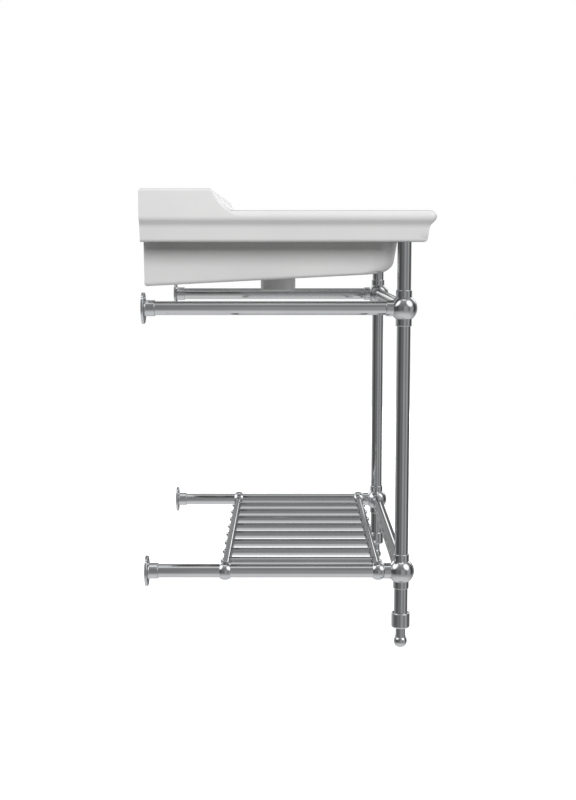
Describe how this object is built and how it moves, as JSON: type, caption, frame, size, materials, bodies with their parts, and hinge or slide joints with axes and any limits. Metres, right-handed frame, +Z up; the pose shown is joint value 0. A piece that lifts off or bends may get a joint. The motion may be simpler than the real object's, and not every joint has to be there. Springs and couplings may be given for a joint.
{
  "type": "console basin on a washstand",
  "caption": "Ceramic console basin with a raised ledge on a chrome tube washstand with front legs, wall flanges, towel rail, slatted rack and adjustable feet.",
  "frame": {"origin": "on the floor under the middle of the basin, half way from its front lip to the wall", "axes": "+Z up from the floor, +Y to the wall, +X to the user's right"},
  "size_m": [0.762, 0.5336, 0.8532],
  "materials": {
    "glazed ceramic": "gloss",
    "chrome": "polished",
    "rubber": "matt",
    "brass": "turned",
    "steel": "plain"
  },
  "bodies": {
    "stand_and_basin": {"basin": "glazed ceramic", "leg_pad_left": "rubber", "leg_pad_right": "rubber", "slat_plugs": "brass", "set_screws": "steel", "leg_top_left": "chrome", "leg_top_right": "chrome", "leg_middle_left": "chrome", "leg_middle_right": "chrome", "leg_bottom_left": "chrome", "leg_bottom_right": "chrome", "upper_ball_left": "chrome", "upper_ball_right": "chrome", "lower_ball_left": "chrome", "lower_ball_right": "chrome", "upper_rail_left": "chrome", "upper_rail_right": "chrome", "lower_rail_left": "chrome", "lower_rail_right": "chrome", "towel_rail": "chrome", "lower_cross_rail": "chrome", "upper_flange_left": "chrome", "upper_flange_right": "chrome", "lower_flange_left": "chrome", "lower_flange_right": "chrome", "rack_ball_front_left": "chrome", "rack_ball_front_right": "chrome", "rack_ball_rear_left": "chrome", "rack_ball_rear_right": "chrome", "rack_bar_front": "chrome", "rack_bar_rear": "chrome", "slat_1": "chrome", "slat_2": "chrome", "slat_3": "chrome", "slat_4": "chrome", "slat_5": "chrome", "slat_6": "chrome", "slat_7": "chrome", "slat_8": "chrome", "slat_screws_front": "chrome", "slat_screws_rear": "chrome", "foot_collar_left": "chrome", "foot_collar_right": "chrome"},
    "foot_left": {"foot_stem_left": "chrome", "foot_ball_left": "chrome"},
    "foot_right": {"foot_stem_right": "chrome", "foot_ball_right": "chrome"}
  },
  "joints": [
    {"name": "foot_left_screw", "type": "slide", "parent": "stand_and_basin", "child": "foot_left", "axis": [0, 0, 1], "range_m": [-0.01, 0.014]},
    {"name": "foot_right_screw", "type": "slide", "parent": "stand_and_basin", "child": "foot_right", "axis": [0, 0, 1], "range_m": [-0.01, 0.014]}
  ]
}
